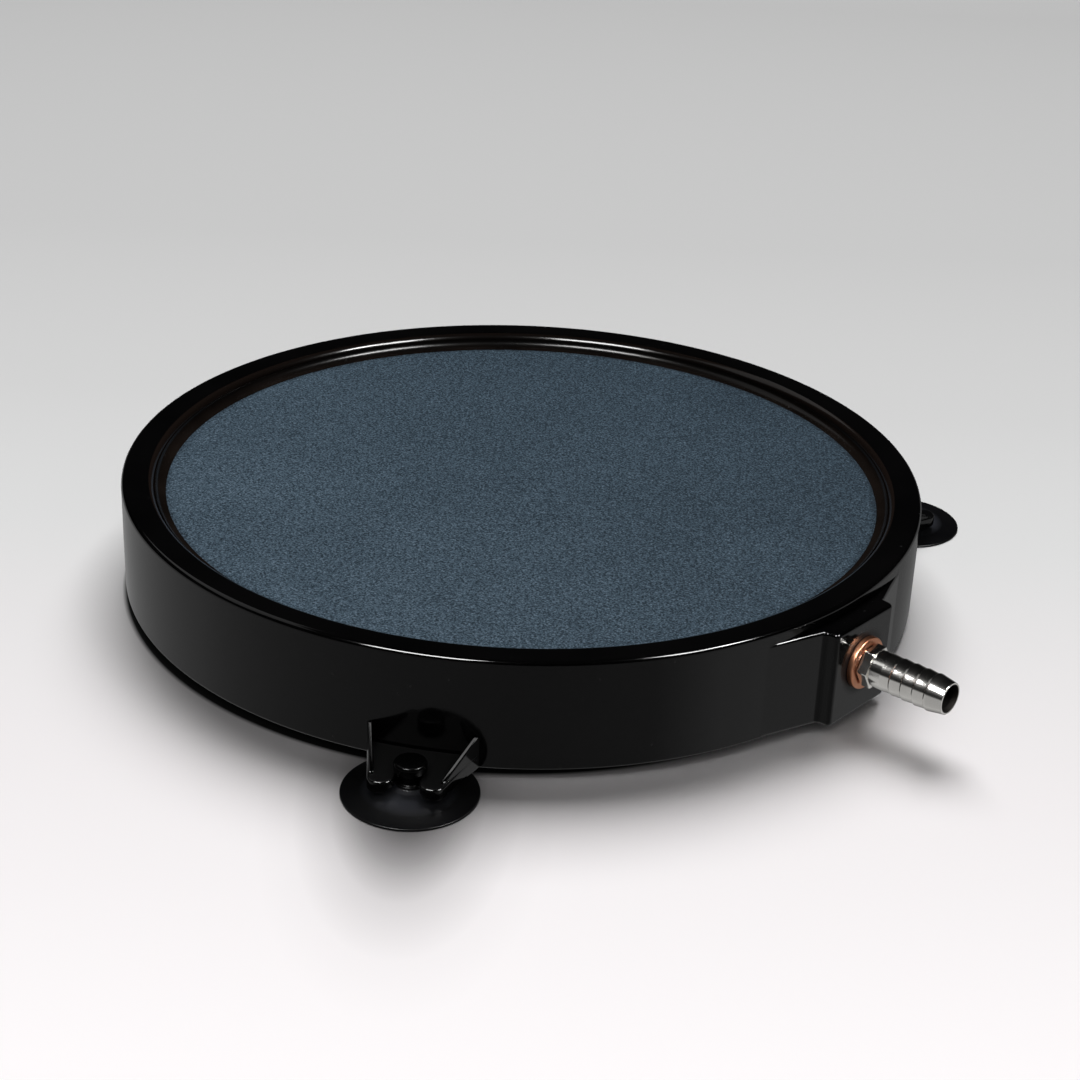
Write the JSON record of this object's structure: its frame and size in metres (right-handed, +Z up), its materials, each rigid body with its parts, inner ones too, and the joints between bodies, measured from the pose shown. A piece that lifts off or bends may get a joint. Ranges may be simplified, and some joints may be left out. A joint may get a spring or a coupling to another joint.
{
  "type": "air stone",
  "caption": "Round disc air stone: black tray with a porous stone disc, a side hose barb and slide-in suction cups under the rim.",
  "frame": {"origin": "centre of the tray's flat underside; the suction cups hang 1.7 mm below it", "axes": "+Z up, square to the stone's face; +X out of the hose port; +Y to the left when looking out of the port"},
  "size_m": [0.2534, 0.2204, 0.0287],
  "materials": {
    "tray_plastic": "glossy black moulded plastic",
    "stone": "matte fine-grained sintered mineral, blue grey",
    "sealant": "glossy brown black adhesive sealant",
    "nickel": "polished nickel plate on brass",
    "copper": "satin copper",
    "cup_rubber": "smooth black soft vinyl"
  },
  "bodies": {
    "tray": {"housing": "tray_plastic", "stone_disc": "stone", "sealant_bead": "sealant", "hose_barb": "nickel", "copper_washer": "copper"},
    "cup_1": {"suction_cup_1": "cup_rubber"},
    "cup_2": {"suction_cup_2": "cup_rubber"},
    "cup_3": {"suction_cup_3": "cup_rubber"}
  },
  "joints": [
    {"name": "cup_1_slide", "type": "slide", "parent": "tray", "child": "cup_1", "axis": [0.5, -0.866, 0], "range_m": [0, 0.012]},
    {"name": "cup_2_slide", "type": "slide", "parent": "tray", "child": "cup_2", "axis": [0.5, 0.866, 0], "range_m": [0, 0.012]},
    {"name": "cup_3_slide", "type": "slide", "parent": "tray", "child": "cup_3", "axis": [-1, 0, 0], "range_m": [0, 0.012]}
  ]
}
